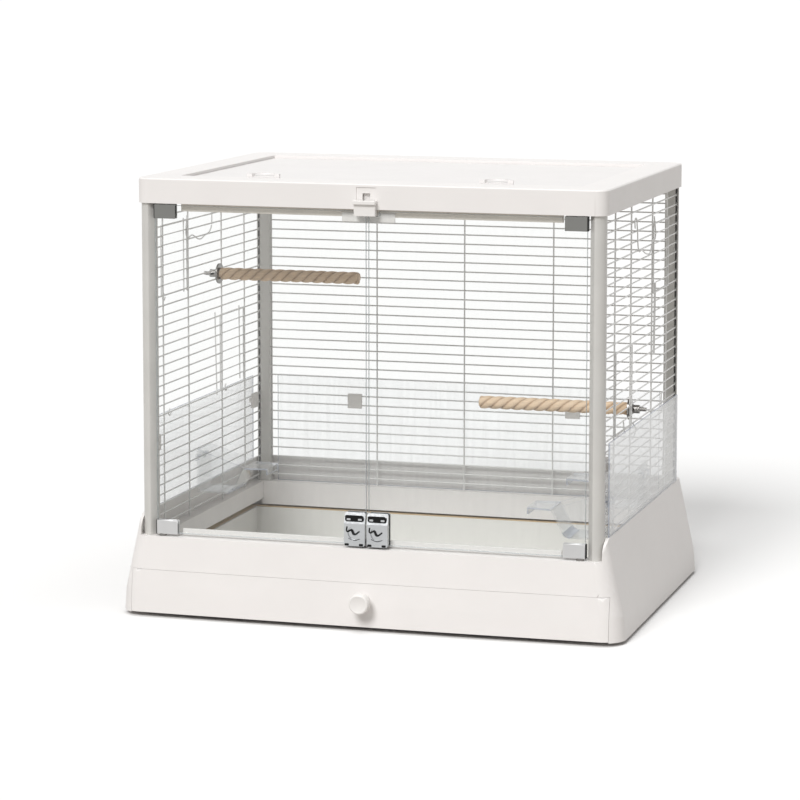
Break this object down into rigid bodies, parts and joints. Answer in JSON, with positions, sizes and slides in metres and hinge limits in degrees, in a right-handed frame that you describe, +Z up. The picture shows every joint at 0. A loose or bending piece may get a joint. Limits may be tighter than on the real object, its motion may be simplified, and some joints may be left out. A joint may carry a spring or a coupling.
{
  "type": "bird cage",
  "caption": "Wide bird cage with a sloping plastic base, pull-out tray, wire walls, hinged glass front doors, a lidded roof, perches and clear feeding cups.",
  "frame": {"origin": "on the floor, below the middle of the cage's outside box, drawer knob included", "axes": "+X right along the wide side, +Y back, away from the glass doors, +Z up"},
  "size_m": [0.67, 0.512, 0.575],
  "materials": {
    "white_shell": "satin moulded",
    "white_fitting": "satin moulded",
    "lid_panel": "fine matt moulded",
    "grey_rail": "matt extruded",
    "tray": "matt moulded",
    "tan_trim": "matt strip",
    "foot_rubber": "matt",
    "post_metal": "satin pale grey coated",
    "wire": "coated wire",
    "door_glass": "clear polished edges",
    "clip_metal": "satin folded sheet",
    "black_cap": "matt",
    "steel": "zinc plated",
    "lock_chrome": "bright plated",
    "perch_wood": "raw beech with a spiral groove",
    "clear_plastic": "clear moulded"
  },
  "bodies": {
    "cage": {"base_shell": "white_shell", "foot_pads": "foot_rubber", "sill_strip": "white_fitting", "post_front_left": "post_metal", "post_front_right": "post_metal", "post_back_left": "post_metal", "post_back_right": "post_metal", "roof_frame": "white_shell", "door_stop_rail": "grey_rail", "latch_keeper": "white_fitting", "wire_wall_left": "wire", "wire_wall_right": "wire", "wire_wall_back": "wire", "guard_left": "clear_plastic", "guard_right": "clear_plastic", "guard_back": "clear_plastic", "guard_buttons_left": "white_fitting", "guard_buttons_right": "white_fitting", "guard_back_buttons": "white_fitting", "perch_left": "perch_wood", "perch_right": "perch_wood", "perch_washers_left": "steel", "perch_washers_right": "steel", "perch_bolt_left": "steel", "perch_bolt_right": "steel"},
    "door_left": {"glass_door_left": "door_glass", "hinge_clips_left": "clip_metal", "hinge_end_caps_left": "black_cap", "hinge_pins_left": "steel", "door_lock_left": "lock_chrome"},
    "door_right": {"glass_door_right": "door_glass", "hinge_clips_right": "clip_metal", "hinge_end_caps_right": "black_cap", "hinge_pins_right": "steel", "door_lock_right": "lock_chrome"},
    "drawer": {"drawer_front": "white_shell", "drawer_knob": "white_fitting", "drawer_tray": "tray", "tray_trim": "tan_trim"},
    "lid": {"roof_lid": "lid_panel"},
    "latch": {"latch_slider": "white_fitting"},
    "upper_hatch_left": {"hatch_upper_left": "wire"},
    "lower_hatch_left": {"hatch_lower_left": "wire"},
    "nut_left": {"wing_nut_left": "steel"},
    "upper_hatch_right": {"hatch_upper_right": "wire"},
    "lower_hatch_right": {"hatch_lower_right": "wire"},
    "nut_right": {"wing_nut_right": "steel"},
    "feeder_left_cup": {"feeder_left": "clear_plastic"},
    "feeder_right_front_cup": {"feeder_right_front": "clear_plastic"},
    "feeder_right_rear_cup": {"feeder_right_rear": "clear_plastic"}
  },
  "joints": [
    {"name": "door_left_hinge", "type": "hinge", "parent": "cage", "child": "door_left", "pos_m": [-0.278, -0.21498, 0.3], "axis": [0, 0, -1], "range_deg": [0, 110]},
    {"name": "door_right_hinge", "type": "hinge", "parent": "cage", "child": "door_right", "pos_m": [0.278, -0.21498, 0.3], "axis": [0, 0, 1], "range_deg": [0, 110]},
    {"name": "drawer_slide", "type": "slide", "parent": "cage", "child": "drawer", "axis": [0, -1, 0], "range_m": [0, 0.35]},
    {"name": "lid_hinge", "type": "hinge", "parent": "cage", "child": "lid", "pos_m": [0, 0.18702, 0.564], "axis": [-1, 0, 0], "range_deg": [0, 100]},
    {"name": "latch_slide", "type": "slide", "parent": "cage", "child": "latch", "axis": [0, 0, 1], "range_m": [0, 0.01]},
    {"name": "upper_hatch_left_slide", "type": "slide", "parent": "cage", "child": "upper_hatch_left", "axis": [0, 0, 1], "range_m": [0, 0.055]},
    {"name": "lower_hatch_left_slide", "type": "slide", "parent": "cage", "child": "lower_hatch_left", "axis": [0, 0, 1], "range_m": [0, 0.095]},
    {"name": "upper_hatch_right_slide", "type": "slide", "parent": "cage", "child": "upper_hatch_right", "axis": [0, 0, 1], "range_m": [0, 0.055]},
    {"name": "lower_hatch_right_slide", "type": "slide", "parent": "cage", "child": "lower_hatch_right", "axis": [0, 0, 1], "range_m": [0, 0.095]},
    {"name": "nut_left_turn", "type": "hinge", "parent": "cage", "child": "nut_left", "pos_m": [-0.31, 0.06102, 0.416], "axis": [-1, 0, 0], "continuous": true},
    {"name": "nut_right_turn", "type": "hinge", "parent": "cage", "child": "nut_right", "pos_m": [0.31, -0.04298, 0.2715], "axis": [1, 0, 0], "continuous": true},
    {"name": "feeder_left_lift", "type": "slide", "parent": "cage", "child": "feeder_left_cup", "axis": [0, 0, 1], "range_m": [0, 0.007]},
    {"name": "feeder_right_front_lift", "type": "slide", "parent": "cage", "child": "feeder_right_front_cup", "axis": [0, 0, 1], "range_m": [0, 0.007]},
    {"name": "feeder_right_rear_lift", "type": "slide", "parent": "cage", "child": "feeder_right_rear_cup", "axis": [0, 0, 1], "range_m": [0, 0.007]}
  ]
}
